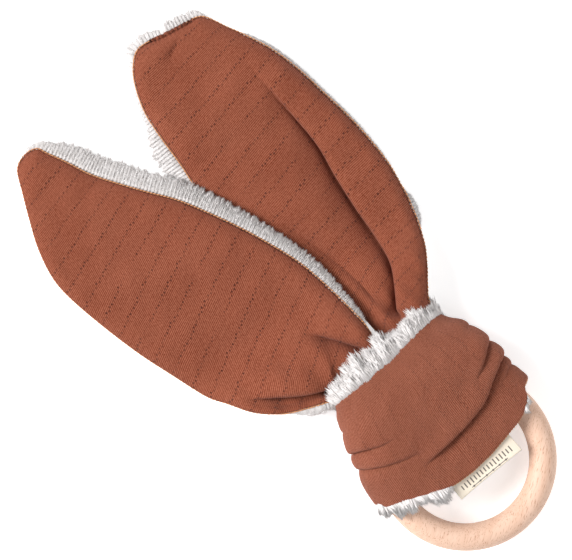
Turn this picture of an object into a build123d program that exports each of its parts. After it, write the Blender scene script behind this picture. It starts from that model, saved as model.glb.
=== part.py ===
"""Teething ring: a turned beech ring with a cloth strip hitched round it, whose two ends are long ears.

The strip is one leaf-ended length of two panels sewn edge to edge: a ribbed knit face and a plush back.
It is folded in half and hitched on the ring, so its middle makes a wide band over the front of the ring,
wraps round the sides to the back, comes up through the ring and leaves under the band as the two ears.

Millimetres. The origin is the centre of the ring, +Z is the ring's axis and points to the knit side,
+Y runs from the ring through the knot to the ears, and the part lies on the plane z = TABLE_Z.
"""

import os

from build123d import *

os.makedirs("parts", exist_ok=True)

# ---------------------------------------------------------------- driving dimensions
RING_OUTER_DIAMETER = 70.0
ROD_DIAMETER = 10.5
RING_CLEARANCE = 0.3  # between the rod and the cloth round it

FACE_THICKNESS = 1.2  # knit panel
PLUSH_IN_KNOT = 2.8  # plush squeezed between the ring and the knit
PLUSH_IN_EAR = 5.5  # plush lying free
EAR_FACE_THICKNESS = 1.5
SEAM_WIDTH = 0.8
SEAM_THICKNESS = 0.6

BAND_TOP_Y = 49.0  # the band's edge that the ears come out under
PLUSH_LIP = 2.5  # how far the band's plush stands out past its knit
WRAP_TOP_Y = 45.0
BAND_SPLIT_Z = 1.0  # the band is the front of the knot above this, the wraps are the back below it

HINGE_Y = 61.0  # where the ears flex
HINGE_Z = 4.5
ROOT_END_Y = 57.0
LANDING_Y = 90.0  # where an ear reaches the table
EAR_FAR_Y = 215.0  # past the tips
SWEEP_PIVOT_Y = 48.0
LEFT_PIVOT_X = -13.0
RIGHT_PIVOT_X = 14.5

LABEL_WIDTH = 29.5
LABEL_DROP = 5.4
LABEL_THICKNESS = 0.8
LABEL_CENTRE_X = 4.9
LABEL_HINGE_Y = -4.3
LABEL_GAP = 0.5
LABEL_Z = 7.2

# ---------------------------------------------------------------- worked out
ROD_RADIUS = ROD_DIAMETER / 2
RING_RADIUS = RING_OUTER_DIAMETER / 2 - ROD_RADIUS
CHANNEL_RADIUS = ROD_RADIUS + RING_CLEARANCE
KNOT_LAYERS = FACE_THICKNESS + PLUSH_IN_KNOT
TABLE_Z = -(CHANNEL_RADIUS + KNOT_LAYERS)
EAR_THICKNESS = PLUSH_IN_EAR + EAR_FACE_THICKNESS
ROOT_BOTTOM_Z = HINGE_Z - EAR_THICKNESS / 2
FAR = 120.0  # half the side of a block that cuts a region off

# Sections of the knot square to Y: (y, left edge, right edge, front height).
KNOT_SECTIONS = [
    (-16.0, -39.0, 39.0, 7.5),
    (-4.0, -39.6, 39.6, 9.8),
    (9.0, -39.2, 39.4, 12.0),
    (22.0, -36.2, 37.5, 15.5),
    (35.0, -32.5, 34.8, 17.0),
    (48.0, -25.5, 29.2, 15.0),
    (60.0, -21.0, 24.0, 12.5),
]
KNOT_CORNER_RADIUS = 8.0
BELOW_TABLE = 0.7  # the sections run past the table plane, which then cuts them flat

# The knit's lower edge over the ring's opening, and the wraps' edge at the back.
FRONT_HEM = [
    (-42.0, 10.0),
    (-35.5, 7.3),
    (-18.0, 0.6),
    (0.0, -2.8),
    (20.0, -0.8),
    (35.5, 7.0),
    (42.0, 13.0),
]
BACK_HEM = [(-42.0, 10.0), (-31.0, 3.5), (-15.0, 2.5), (0.0, 8.0), (15.0, 2.5), (31.0, 3.5), (42.0, 12.0)]

# Plan outlines of the ears, each a closed curve.
LEFT_FACE = [
    (-43.0, 54.0), (-51.0, 64.5), (-60.0, 81.0), (-69.5, 110.0), (-76.2, 143.0), (-75.5, 164.0),
    (-67.5, 181.0), (-61.0, 195.0), (-55.0, 198.2), (-49.0, 196.5), (-39.5, 174.0), (-20.5, 147.5),
    (-10.5, 125.0), (-2.0, 98.0), (1.0, 78.0), (0.5, 54.0), (-20.0, 48.0),
]
LEFT_PLUSH = [
    (-43.0, 52.0), (-52.3, 64.0), (-61.6, 81.0), (-71.3, 110.0), (-78.0, 143.0), (-77.3, 164.5),
    (-69.3, 181.5), (-62.5, 196.5), (-55.0, 200.0), (-44.0, 198.0), (-33.5, 178.0), (-17.0, 151.0),
    (-8.2, 131.0), (-0.4, 104.0), (2.4, 80.0), (1.0, 54.0), (-20.0, 46.0),
]
RIGHT_FACE = [
    (30.0, 54.0), (36.5, 67.0), (45.5, 85.0), (49.8, 110.0), (50.0, 135.0), (46.7, 160.0),
    (39.3, 181.0), (30.0, 195.5), (17.5, 198.7), (5.0, 201.5), (-2.0, 195.0), (-8.6, 178.0),
    (-11.0, 152.0), (-3.4, 133.0), (4.6, 104.0), (8.4, 80.0), (9.0, 54.0), (16.0, 48.0),
]
RIGHT_PLUSH = [
    (31.5, 54.0), (38.2, 66.5), (47.3, 85.0), (51.6, 110.0), (52.0, 135.0), (48.7, 161.0),
    (41.5, 182.0), (32.0, 198.0), (17.5, 204.5), (5.5, 205.0), (-4.0, 197.5), (-12.5, 179.0),
    (-14.0, 153.0), (-4.8, 132.0), (3.0, 104.0), (6.6, 80.0), (7.5, 54.0), (16.0, 46.0),
]

# Plan outlines of the gathered roots, between the band's mouth and the ears' flexing line.
LEFT_ROOT = [
    (-19.0, 53.4), (-28.0, 55.8), (-39.0, ROOT_END_Y), (1.5, ROOT_END_Y), (0.0, 51.5), (-10.0, 50.8),
]
RIGHT_ROOT = [
    (4.5, ROOT_END_Y), (28.0, ROOT_END_Y), (27.0, 55.4), (21.0, 53.1), (13.0, 50.8), (4.5, 51.5),
]

# The legs of the strip inside the knot: half width, and where they start and stop.
LEG_HALF_WIDTH = 21.0
LEG_BOTTOM_Y = 4.0
LEG_TOP_Y = 44.0
LEG_LOW_Z = -4.4
LEG_HIGH_Z = 8.5
LEG_ROUNDING = 3.0
LEG_GAP = 0.2
LEG_COVER_GAP = 0.1


def save(piece, name):
    """Labels a finished piece and writes its STEP file."""
    piece.part.label = name
    export_step(piece.part, f"parts/{name}.step")


# ---------------------------------------------------------------- ring
with BuildPart() as wooden_ring:
    with BuildSketch(Plane.XZ):
        with Locations((RING_RADIUS, 0)):
            Circle(ROD_RADIUS)
    revolve(axis=Axis.Z)
save(wooden_ring, "wooden_ring")

with BuildPart() as ring_channel:  # the space the ring needs inside the knot
    with BuildSketch(Plane.XZ):
        with Locations((RING_RADIUS, 0)):
            Circle(CHANNEL_RADIUS)
    revolve(axis=Axis.Z)


# ---------------------------------------------------------------- knot
def knot_body(depth):
    """The knot's rounded outer form, taken in by depth on the front, back and sides."""
    with BuildPart() as body:
        for y, left, right, front in KNOT_SECTIONS:
            low = TABLE_Z - BELOW_TABLE
            width, height = right - left - 2 * depth, front - low - 2 * depth
            with BuildSketch(Plane.XZ.offset(-y)):
                with Locations(((left + right) / 2, (front + low) / 2)):
                    RectangleRounded(width, height, KNOT_CORNER_RADIUS - depth)
        loft()
        split(bisect_by=Plane.XY.offset(TABLE_Z + depth), keep=Keep.TOP)
    return body.part


def above_hem(hem, top_y, drop=0.0):
    """A tall block over the plan area between a hem, lowered by drop, and the line y = top_y."""
    points = [(x, y - drop) for x, y in hem]
    with BuildPart() as block:
        with BuildSketch(Plane.XY.offset(-FAR)):
            with BuildLine():
                Spline(*points)
                Polyline(points[-1], (points[-1][0], top_y), (points[0][0], top_y), points[0])
            make_face()
        extrude(amount=2 * FAR)
    return block.part


def knot_layer(outer_depth, inner_depth, hem, top_y, side, drop=0.0):
    """One cloth layer of the knot: side is "front" for the band, "left" or "right" for a wrap."""
    with BuildPart() as layer:
        add(knot_body(outer_depth))
        add(knot_body(inner_depth), mode=Mode.SUBTRACT)
        add(above_hem(hem, top_y, drop), mode=Mode.INTERSECT)
        keep = Keep.TOP if side == "front" else Keep.BOTTOM
        split(bisect_by=Plane.XY.offset(BAND_SPLIT_Z), keep=keep)
        if side != "front":
            split(bisect_by=Plane.YZ, keep=Keep.TOP if side == "right" else Keep.BOTTOM)
    return layer


band_face = knot_layer(0.0, FACE_THICKNESS, FRONT_HEM, BAND_TOP_Y, "front")
save(band_face, "band_face")
band_plush = knot_layer(FACE_THICKNESS, KNOT_LAYERS, FRONT_HEM, BAND_TOP_Y + PLUSH_LIP, "front")
save(band_plush, "band_plush")

for side in ("left", "right"):
    wrap_face = knot_layer(0.0, FACE_THICKNESS, BACK_HEM, WRAP_TOP_Y, side)
    save(wrap_face, f"wrap_{side}_face")
    wrap_plush = knot_layer(FACE_THICKNESS, KNOT_LAYERS, BACK_HEM, WRAP_TOP_Y, side)
    save(wrap_plush, f"wrap_{side}_plush")

# Seams close the knit panel's two long edges where it meets the plush.
seam_layer_outer = FACE_THICKNESS - SEAM_THICKNESS
with BuildPart() as band_hem_seam:
    add(knot_layer(seam_layer_outer, FACE_THICKNESS, FRONT_HEM, BAND_TOP_Y, "front", SEAM_WIDTH).part)
    add(above_hem(FRONT_HEM, BAND_TOP_Y), mode=Mode.SUBTRACT)
save(band_hem_seam, "band_hem_seam")

with BuildPart() as band_top_seam:
    add(knot_layer(seam_layer_outer, FACE_THICKNESS, FRONT_HEM, BAND_TOP_Y + SEAM_WIDTH, "front").part)
    add(above_hem(FRONT_HEM, BAND_TOP_Y), mode=Mode.SUBTRACT)
save(band_top_seam, "band_top_seam")

# The two legs of the strip come up through the ring, over its rod and out under the band.
for side, direction in (("left", -1), ("right", 1)):
    width = LEG_HALF_WIDTH - LEG_GAP
    length = LEG_TOP_Y - LEG_BOTTOM_Y
    with BuildPart() as leg:
        with BuildSketch(Plane.XY.offset(LEG_LOW_Z)):
            with Locations((direction * (LEG_GAP + width / 2), LEG_BOTTOM_Y + length / 2)):
                Rectangle(width, length)
        extrude(amount=LEG_HIGH_Z - LEG_LOW_Z)
        fillet(leg.edges().filter_by(Axis.Y), LEG_ROUNDING)
        add(knot_body(KNOT_LAYERS + LEG_COVER_GAP), mode=Mode.INTERSECT)
        add(ring_channel.part, mode=Mode.SUBTRACT)
    save(leg, f"leg_{side}")


# ---------------------------------------------------------------- ears
def ear_slab(low, thickness):
    """A long slab that leaves the knot at the flexing line, drops to the table and runs on flat."""
    start_z, end_z = ROOT_BOTTOM_Z + low, TABLE_Z + low
    with BuildPart() as slab:
        with BuildSketch(Plane.YZ.offset(-FAR)):
            with BuildLine():
                lower = Spline(
                    (HINGE_Y, start_z), (LANDING_Y, end_z), tangents=[(1, -0.15), (1, 0)]
                )
                Polyline(
                    lower @ 1,
                    (EAR_FAR_Y, end_z),
                    (EAR_FAR_Y, end_z + thickness),
                    (LANDING_Y, end_z + thickness),
                )
                upper = Spline(
                    (HINGE_Y, start_z + thickness),
                    (LANDING_Y, end_z + thickness),
                    tangents=[(1, -0.15), (1, 0)],
                )
                Line(upper @ 0, lower @ 0)
            make_face()
        extrude(amount=2 * FAR)
    return slab.part


def ear_layer(outline, low, thickness, hollow=None):
    """The part of an ear slab inside a plan outline, and outside the hollow outline if there is one."""
    with BuildPart() as layer:
        with BuildSketch(Plane.XY.offset(TABLE_Z - 1)):
            with BuildLine():
                Spline(*outline, periodic=True)
            make_face()
            if hollow:
                with BuildLine(mode=Mode.PRIVATE) as inner:
                    Spline(*hollow, periodic=True)
                make_face(inner.edges(), mode=Mode.SUBTRACT)
        extrude(amount=FAR)
        add(ear_slab(low, thickness), mode=Mode.INTERSECT)
    return layer


def grown(outline, amount):
    """The outline moved outwards by amount, as a list of points."""
    with BuildSketch() as region:
        with BuildLine():
            Spline(*outline, periodic=True)
        make_face()
    edge = region.faces()[0].outer_wire()
    moved = []
    for x, y in outline:
        at = edge.param_at_point((x, y, 0))
        tangent = edge.tangent_at(at)
        normal = Vector(tangent.Y, -tangent.X)
        if region.faces()[0].is_inside(Vector(x, y) + normal * 0.5):
            normal = -normal
        moved.append((x + normal.X * amount, y + normal.Y * amount))
    return moved


def root_layer(outline, low, thickness):
    """One layer of an ear's gathered root."""
    with BuildPart() as layer:
        with BuildSketch(Plane.XY.offset(ROOT_BOTTOM_Z + low)):
            with BuildLine():
                Polyline(*outline, close=True)
            make_face()
        extrude(amount=thickness)
    return layer


for side, face, plush, root in (
    ("left", LEFT_FACE, LEFT_PLUSH, LEFT_ROOT),
    ("right", RIGHT_FACE, RIGHT_PLUSH, RIGHT_ROOT),
):
    save(ear_layer(plush, 0.0, PLUSH_IN_EAR), f"{side}_ear_plush")
    save(ear_layer(face, PLUSH_IN_EAR, EAR_FACE_THICKNESS), f"{side}_ear_face")
    seam = ear_layer(grown(face, SEAM_WIDTH), PLUSH_IN_EAR, SEAM_THICKNESS, hollow=face)
    save(seam, f"{side}_ear_seam")
    save(root_layer(root, 0.0, PLUSH_IN_EAR), f"{side}_root_plush")
    save(root_layer(root, PLUSH_IN_EAR, EAR_FACE_THICKNESS), f"{side}_root_face")

# ---------------------------------------------------------------- label
with BuildPart() as label_tab:
    with BuildSketch(Plane.XY.offset(LABEL_Z - LABEL_THICKNESS / 2)):
        with Locations((LABEL_CENTRE_X, LABEL_HINGE_Y - LABEL_GAP - LABEL_DROP / 2)):
            Rectangle(LABEL_WIDTH, LABEL_DROP)
    extrude(amount=LABEL_THICKNESS)
save(label_tab, "label_tab")
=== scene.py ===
"""Looks of the teething ring: a beech ring, and a cloth strip hitched round it that ends in two long ears.

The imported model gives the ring, the bodies and the sizes. This script makes the cloth as it really lies:
the knit face with its folds, the plush back with its pile, the seams, and the woven tab. Shapes are worked
out in millimetres in the model's own frame and written to their meshes in metres.
"""

import math

import bmesh
import bpy
import numpy as np
from mathutils.kdtree import KDTree
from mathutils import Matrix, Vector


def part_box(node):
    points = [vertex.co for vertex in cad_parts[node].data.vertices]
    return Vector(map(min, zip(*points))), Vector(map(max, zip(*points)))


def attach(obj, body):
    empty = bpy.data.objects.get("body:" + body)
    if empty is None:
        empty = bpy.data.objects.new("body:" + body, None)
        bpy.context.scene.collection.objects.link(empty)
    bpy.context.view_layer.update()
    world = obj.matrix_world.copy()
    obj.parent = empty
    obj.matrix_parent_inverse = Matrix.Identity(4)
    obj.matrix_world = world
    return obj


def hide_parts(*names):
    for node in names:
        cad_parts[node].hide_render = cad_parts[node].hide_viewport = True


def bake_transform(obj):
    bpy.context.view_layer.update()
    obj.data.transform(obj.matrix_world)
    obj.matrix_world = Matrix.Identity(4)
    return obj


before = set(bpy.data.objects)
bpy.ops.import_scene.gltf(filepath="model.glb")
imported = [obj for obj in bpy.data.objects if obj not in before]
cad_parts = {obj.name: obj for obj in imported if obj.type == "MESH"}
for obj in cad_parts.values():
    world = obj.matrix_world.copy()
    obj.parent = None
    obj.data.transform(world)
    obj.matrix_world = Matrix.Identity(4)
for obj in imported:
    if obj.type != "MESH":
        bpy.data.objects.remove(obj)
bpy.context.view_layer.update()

MM = 0.001


def node_box(name):
    """A node's lowest and highest corners, in millimetres."""
    return [[value / MM for value in corner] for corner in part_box(name)]


TABLE = node_box("wrap_left_face")[0][2]
LABEL_BOX = node_box("label_tab")
EAR_TOP_AT_HINGE = node_box("left_root_face")[1][2]

# ---------------------------------------------------------------- cloth sizes
KNIT_THICKNESS = 0.8
EAR_HEIGHT = 7.0  # top of the knit above the table where an ear lies flat
EAR_SEAM_HEIGHT = 4.4  # the edge seam above the table
EDGE_ROLL = 6.0  # how far in from the seam the knit curves down
DROP_START, DROP_END = 58.0, 92.0  # where the ears come down to the table
PANEL_BOTTOM = 0.9  # the plush's woven base above the table
PANEL_THICKNESS = 0.8
RIM_THICKNESS = 3.0  # the plush where it shows past a seam

# ---------------------------------------------------------------- curves and fields


def smoothstep(low, high, value):
    t = np.clip((value - low) / (high - low), 0.0, 1.0)
    return t * t * (3.0 - 2.0 * t)


def curve_through(points, count):
    """A smooth curve through the points, as count points evenly spaced along it."""
    knots = np.array(points, float)
    ends = np.vstack([2 * knots[0] - knots[1], knots, 2 * knots[-1] - knots[-2]])
    t = np.linspace(0, 1, 24, endpoint=False)[:, None]
    spans = []
    for a, b, c, d in zip(ends, ends[1:], ends[2:], ends[3:]):
        bend = t**2 * (a - 2.5 * b + 2 * c - 0.5 * d) + t**3 * (1.5 * b - 1.5 * c + 0.5 * d - 0.5 * a)
        spans.append(b + 0.5 * t * (c - a) + bend)
    dense = np.vstack(spans + [knots[-1:]])
    length = np.concatenate([[0], np.cumsum(np.linalg.norm(np.diff(dense, axis=0), axis=1))])
    even = np.linspace(0, length[-1], count)
    return np.column_stack([np.interp(even, length, column) for column in dense.T])


def profile(pairs, at):
    """A smooth value between the (position, value) pairs."""
    position, value = curve_through(pairs, 200).T
    return np.interp(at, position, value)


def ripples(x, y, wavelength, seed):
    """Soft unevenness between about -1 and 1, as cloth has where it lies."""
    rng = np.random.default_rng(seed)
    total = np.zeros_like(x)
    for _ in range(8):
        angle, phase = rng.uniform(0, 2 * math.pi, 2)
        wave = 2 * math.pi / (wavelength * rng.uniform(0.7, 1.7))
        total += np.sin((x * math.cos(angle) + y * math.sin(angle)) * wave + phase)
    return total / 4


def distance_to_line(points, line):
    """How far each plan point is from a line of points."""
    gaps = [
        np.linalg.norm(points[row][:, None] - line[None], axis=2).min(axis=1) for row in range(len(points))
    ]
    return np.array(gaps)


class Crease:
    """A fold line in the cloth. Its left side, along the line, is a roll that leans over a groove."""

    def __init__(self, points, depth, roll=0.0, lean=0.0, steep=1.0, gentle=5.0, fade=(0.15, 0.3),
                 spread=9.0):
        self.line = curve_through(points, 48)
        self.depth, self.roll, self.lean = depth, roll, lean
        self.steep, self.gentle, self.fade, self.spread = steep, gentle, fade, spread

    def moves(self, x, y):
        """How far the cloth at each point rises, and how far it shifts in x and y."""
        start, step = self.line[:-1], np.diff(self.line, axis=0)
        offset = np.stack([x.ravel(), y.ravel()], axis=1)[:, None, :] - start[None]
        along = np.clip((offset * step).sum(2) / (step * step).sum(1), 0, 1)
        gap = offset - along[..., None] * step
        distance = np.linalg.norm(gap, axis=2)
        nearest = distance.argmin(1)
        rows = np.arange(len(nearest))
        side = np.sign(step[nearest, 0] * gap[rows, nearest, 1] - step[nearest, 1] * gap[rows, nearest, 0])
        d = (distance[rows, nearest] * np.where(side == 0, 1, side)).reshape(x.shape)
        t = ((nearest + along[rows, nearest]) / len(step)).reshape(x.shape)
        tangent = step[nearest] / np.linalg.norm(step[nearest], axis=1)[:, None]
        strength = smoothstep(0, self.fade[0], t) * (1 - smoothstep(1 - self.fade[1], 1, t))
        upper = np.maximum(d, 0)
        lower = np.minimum(d, 0)
        valley = 0.55 * np.exp(lower / self.gentle) + 0.45 * np.exp(lower / (0.3 * self.gentle))
        groove = np.where(d > 0, np.exp(-upper / self.steep), valley)
        swell = (1 - np.exp(-upper / (1.6 * self.steep))) * np.exp(-((upper / self.spread) ** 2))
        rise = strength * (self.roll * swell - self.depth * groove)
        near = np.exp(-((upper / (0.5 * self.spread)) ** 2))
        over = strength * self.lean * (1 - np.exp(-upper / 0.7)) * near
        normal_x = (-tangent[:, 1]).reshape(x.shape)
        normal_y = tangent[:, 0].reshape(x.shape)
        return rise, -over * normal_x, -over * normal_y


# ---------------------------------------------------------------- meshes


def grid_faces(rows, columns, closed=False):
    """The quads of a grid of vertices numbered row by row."""
    last = columns if closed else columns - 1
    faces = []
    for row in range(rows - 1):
        for column in range(last):
            a, b = row * columns + column, row * columns + (column + 1) % columns
            faces.append((a, b, b + columns, a + columns))
    return faces


def make_piece(name, points, faces, uv=None, merge=0.0):
    """A mesh object from points in millimetres; uv gives each point its place in the flat cloth."""
    mesh = bpy.data.meshes.new(name)
    mesh.from_pydata((np.asarray(points).reshape(-1, 3) * MM).tolist(), [], faces)
    if uv is not None:
        layer = mesh.uv_layers.new(name="cloth")
        corners = np.zeros(len(mesh.loops), int)
        mesh.loops.foreach_get("vertex_index", corners)
        layer.data.foreach_set("uv", (np.asarray(uv).reshape(-1, 2) * MM)[corners].ravel())
    mesh.polygons.foreach_set("use_smooth", [True] * len(mesh.polygons))
    piece = bpy.data.objects.new(name, mesh)
    bpy.context.scene.collection.objects.link(piece)
    if merge:
        weld = piece.modifiers.new("weld", "WELD")
        weld.merge_threshold = merge * MM
        settle(piece)
    return piece


def settle(piece):
    """Turns a piece with modifiers into a plain mesh."""
    depsgraph = bpy.context.evaluated_depsgraph_get()
    mesh = bpy.data.meshes.new_from_object(piece.evaluated_get(depsgraph), depsgraph=depsgraph)
    piece.modifiers.clear()
    piece.data = mesh
    mesh.name = piece.name


def face_outwards(piece):
    """Points every face of a closed shell outwards."""
    shell = bmesh.new()
    shell.from_mesh(piece.data)
    bmesh.ops.recalc_face_normals(shell, faces=shell.faces)
    shell.to_mesh(piece.data)
    shell.free()


def thicken(piece, thickness):
    """Gives a sheet its thickness, on the side away from its faces."""
    solid = piece.modifiers.new("thickness", "SOLIDIFY")
    solid.thickness = thickness * MM
    solid.offset = -1
    solid.use_even_offset = False
    settle(piece)
    face_outwards(piece)


# ---------------------------------------------------------------- node trees


class Signal:
    """A value in a node tree that Python's operators combine."""

    def __init__(self, tree, socket):
        self.tree, self.socket = tree, socket

    def maths(self, operation, *operands):
        return self.tree.node("ShaderNodeMath", {"operation": operation}, dict(enumerate(operands)))

    def __add__(self, other):
        return self.maths("ADD", self, other)

    def __sub__(self, other):
        return self.maths("SUBTRACT", self, other)

    def __rsub__(self, other):
        return self.maths("SUBTRACT", other, self)

    def __mul__(self, other):
        return self.maths("MULTIPLY", self, other)

    def __truediv__(self, other):
        return self.maths("DIVIDE", self, other)

    def __pow__(self, other):
        return self.maths("POWER", self, other)

    def __mod__(self, other):
        return self.maths("FLOORED_MODULO", self, other)

    def __abs__(self):
        return self.maths("ABSOLUTE", self)

    __radd__ = __add__
    __rmul__ = __mul__

    def floor(self):
        return self.maths("FLOOR", self)

    def sine(self):
        return self.maths("SINE", self)

    def ramp(self, low, high):
        """0 at low, 1 at high, smooth between."""
        return self.tree.node(
            "ShaderNodeMapRange", {"interpolation_type": "SMOOTHSTEP"}, {"Value": self, 1: low, 2: high}
        )


class Tree:
    """A node tree with one way to add a node."""

    def __init__(self, nodes):
        self.nodes = nodes

    def node(self, kind, settings=None, values=None, output=0):
        made = self.nodes.nodes.new(kind)
        for key, value in (settings or {}).items():
            setattr(made, key, value)
        for key, value in (values or {}).items():
            slot = made.inputs[key]
            if isinstance(value, Signal):
                self.nodes.links.new(value.socket, slot)
            else:
                slot.default_value = value
        return Signal(self, made.outputs[output]) if made.outputs else None

    def combine(self, x, y, z=0.0):
        return self.node("ShaderNodeCombineXYZ", {}, {"X": x, "Y": y, "Z": z})

    def split(self, vector):
        parts = self.node("ShaderNodeSeparateXYZ", {}, {"Vector": vector})
        return [Signal(self, socket) for socket in parts.socket.node.outputs]

    def noise(self, vector, scale, detail=2.0, roughness=0.5):
        values = {"Vector": vector, "Scale": scale, "Detail": detail, "Roughness": roughness}
        return self.node("ShaderNodeTexNoise", {}, values)

    def scatter(self, vector):
        """One random number from 0 to 1 for each different vector."""
        return self.node("ShaderNodeTexWhiteNoise", {}, {"Vector": vector})

    def blend(self, factor, first, second):
        settings = {"data_type": "RGBA"}
        mixed = self.node("ShaderNodeMix", settings, {"Factor": factor, 6: first, 7: second}, output=2)
        return mixed


class Finish(Tree):
    """A material: a principled shader whose fixed numbers are on its own sockets."""

    def __init__(self, name, **fixed):
        self.material = bpy.data.materials.new(name)
        self.material.use_nodes = True
        super().__init__(self.material.node_tree)
        self.shader = self.nodes.nodes["Principled BSDF"]
        for key, value in fixed.items():
            self.shader.inputs[key.replace("_", " ")].default_value = value

    def place(self):
        """Object coordinates in millimetres."""
        where = self.node("ShaderNodeTexCoord", {}, {}, output=3)
        return self.node("ShaderNodeVectorMath", {"operation": "SCALE"}, {0: where, "Scale": 1 / MM})

    def cloth(self):
        """Coordinates in the flat cloth in millimetres."""
        where = self.node("ShaderNodeUVMap", {"uv_map": "cloth"}, {})
        return self.node("ShaderNodeVectorMath", {"operation": "SCALE"}, {0: where, "Scale": 1 / MM})

    def feed(self, name, value):
        self.nodes.links.new(value.socket, self.shader.inputs[name])

    def emboss(self, height, distance, strength=1.0):
        """Raises the surface by height times distance, in millimetres."""
        values = {"Height": height, "Distance": distance * MM, "Strength": strength}
        self.feed("Normal", self.node("ShaderNodeBump", {}, values))


def rgb(red, green, blue):
    """A colour from its everyday 0 to 255 numbers."""

    def linear(value):
        value /= 255
        return value / 12.92 if value <= 0.04045 else ((value + 0.055) / 1.055) ** 2.4

    return (linear(red), linear(green), linear(blue), 1.0)


# ---------------------------------------------------------------- materials
RUST = (126, 64, 42)
WALE = 0.64  # spacing of the knit's ribs, which run across the strip
STITCH = 0.62  # spacing of the stitches along a rib
EYELET_ROW = 7.8
EYELET = 1.35  # spacing of the eyelets in a row


def knit_finish(name, eyelets=1.0, relief=0.22, lift=0):
    """Rust cotton jersey: fine ribs of stitches across the strip and broken rows of small eyelets."""
    finish = Finish(name, Roughness=0.94, Sheen_Weight=0.06, Sheen_Roughness=0.6, Specular_IOR_Level=0.12)
    cloth = finish.cloth()
    wander = finish.noise(cloth, 0.05) - 0.5
    across, along, _ = finish.split(cloth)
    across = across + wander * 0.8
    along = along + wander * 3.0
    rib = abs((along / WALE) % 1.0 - 0.5) * 2.0
    stitch = abs((across / STITCH + (along / WALE).floor() * 0.5) % 1.0 - 0.5) * 2.0
    row = along / EYELET_ROW
    cell = (across / EYELET + row.floor() * 0.37).floor()
    jump = finish.scatter(finish.combine(cell, row.floor())) - 0.5
    from_row = ((row % 1.0) - 0.5) * EYELET_ROW - (cell % 2.0 - 0.5) * 0.5 - jump * 0.5
    from_cell = ((across / EYELET + row.floor() * 0.37) % 1.0 - 0.5) * EYELET
    distance = (from_row * from_row + from_cell * from_cell) ** 0.5
    runs = finish.noise(finish.combine(across * 0.09, row.floor() * 7.3), 1.0, 1.0).ramp(0.22, 0.45)
    strength = (0.75 + jump * 0.7) * runs * eyelets
    eyelet = (1.0 - distance.ramp(0.16, 0.5)) * strength
    fibre = finish.noise(cloth, 1.3, 3.0, 0.75)
    speck = finish.noise(finish.combine(across * 1.6, along * 0.8), 1.0, 2.0, 0.7)
    patches = finish.noise(cloth, 0.06, 2.0)
    # painted light: lift lightens this copy of the knit
    pale, deep = rgb(*[value + lift + 25 for value in RUST]), rgb(*[value + lift - 25 for value in RUST])
    tone = (1.0 - rib) * 0.36 + fibre * 0.35 + speck * 0.5 + (patches - 0.5) * 0.12 - 0.1
    colour = finish.blend(tone.ramp(0.28, 0.72), deep, pale)
    # painted shade: the eyelet holes are filled with a dark rust for the shade inside them
    colour = finish.blend(eyelet, colour, rgb(86, 40, 27))
    finish.feed("Base Color", colour)
    finish.emboss(rib * 0.5 + stitch * 0.25 + speck * 0.4 + fibre * 0.3 - eyelet * 1.8, relief, 0.8)
    return finish.material


PLUSH_PAINTED_GLOW = 0.03  # painted light: the plush glows faintly to lift its shaded parts


def plush_finish(name, streaks, painted_shade=0):
    """Off-white plush, darkened by a set amount of painted shade. The woven base shows streaks; the hairs
    only change in tone.
    """
    # painted light: the plush is given a faint glow in its own colour
    finish = Finish(name, Roughness=0.95, Sheen_Weight=0.3, Specular_IOR_Level=0.1, Emission_Strength=PLUSH_PAINTED_GLOW)
    finish.shader.inputs["Emission Color"].default_value = rgb(228, 224, 224)
    place = finish.place()
    tone = finish.noise(place, 0.35, 3.0, 0.6)
    dark, light = ((222, 217, 215), (238, 234, 233))
    # painted shade: the colour is darkened by a set amount for each copy of the plush
    dark, light = [rgb(*(value - painted_shade for value in tint)) for tint in (dark, light)]
    colour = finish.blend(tone.ramp(0.25, 0.75), dark, light)
    finish.feed("Base Color", colour)
    if streaks:
        relief = finish.noise(place, 0.5, 2.0, 0.5) + finish.noise(place, 2.2, 2.0, 0.6) * 0.25
        finish.emboss(relief, 0.8, 0.7)
    return finish.material


GRAIN_TURN = math.radians(-35.0)


def beech_finish(name):
    """Steamed beech, oiled: pinkish, with short brown flecks along the grain."""
    finish = Finish(name, Roughness=0.5, Specular_IOR_Level=0.35)
    place = finish.place()
    values = {"Vector": place, "Rotation": (0.0, 0.0, GRAIN_TURN), "Scale": (1.0, 1.0, 1.0)}
    board = finish.node("ShaderNodeMapping", {}, values)
    x, y, z = finish.split(board)
    long_grain = finish.combine(x * 0.05, y, z)
    flecks = finish.noise(finish.combine(x * 0.3, y * 3.2, z * 3.2), 1.0, 2.0, 0.55).ramp(0.54, 0.7)
    bands = finish.noise(long_grain, 0.35, 3.0, 0.6)
    fibre = finish.noise(finish.combine(x * 0.15, y * 3.0, z * 3.0), 1.5, 3.0, 0.6)
    colour = finish.blend(bands.ramp(0.3, 0.7), rgb(217, 180, 157), rgb(226, 193, 172))
    colour = finish.blend(fibre * 0.3, colour, rgb(204, 164, 138))
    colour = finish.blend(flecks * 0.8, colour, rgb(170, 122, 96))
    finish.feed("Base Color", colour)
    finish.feed("Roughness", 0.45 + fibre * 0.2)
    finish.emboss(fibre - flecks * 0.6, 0.05, 0.5)
    return finish.material


BAR_PITCH = 1.55


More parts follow.
